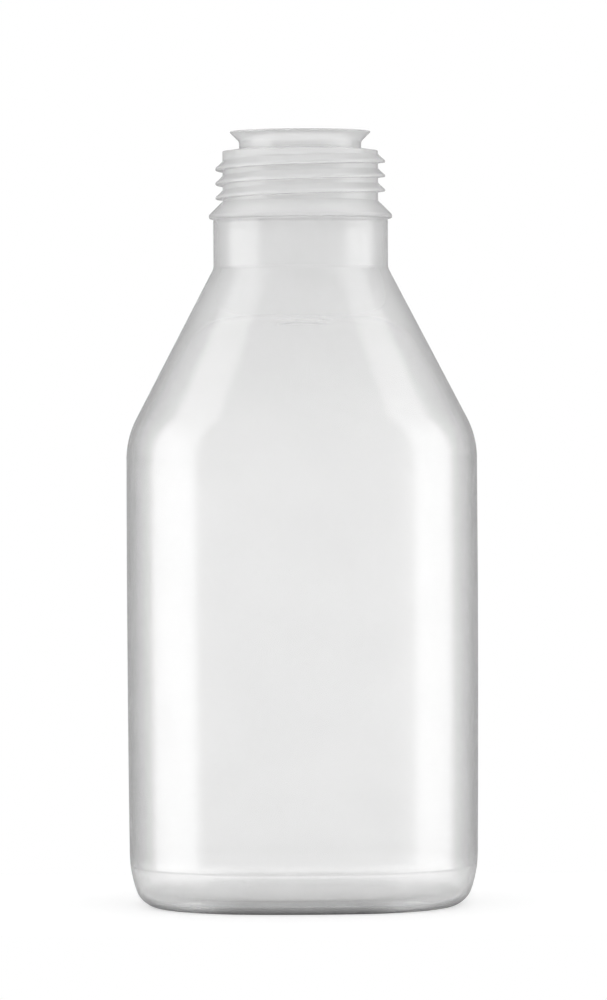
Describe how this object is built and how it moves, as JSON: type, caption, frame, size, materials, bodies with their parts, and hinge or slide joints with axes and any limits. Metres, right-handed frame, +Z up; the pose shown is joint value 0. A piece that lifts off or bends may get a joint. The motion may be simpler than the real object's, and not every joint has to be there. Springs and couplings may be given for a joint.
{
  "type": "narrow-neck bottle",
  "caption": "Empty square blown plastic bottle with bowed sides, a long straight shoulder and a round screw-threaded neck, without its cap.",
  "frame": {"origin": "middle of the base, on the floor that the bottle stands on", "axes": "+Z up along the neck's axis; the flat sides face +X, -X, +Y and -Y, and -Y is the front of the picture"},
  "size_m": [0.077, 0.077, 0.1694],
  "materials": {
    "natural_plastic": "milky translucent natural polypropylene, satin gloss"
  },
  "bodies": {
    "root": {"bottle": "natural_plastic"}
  },
  "joints": []
}
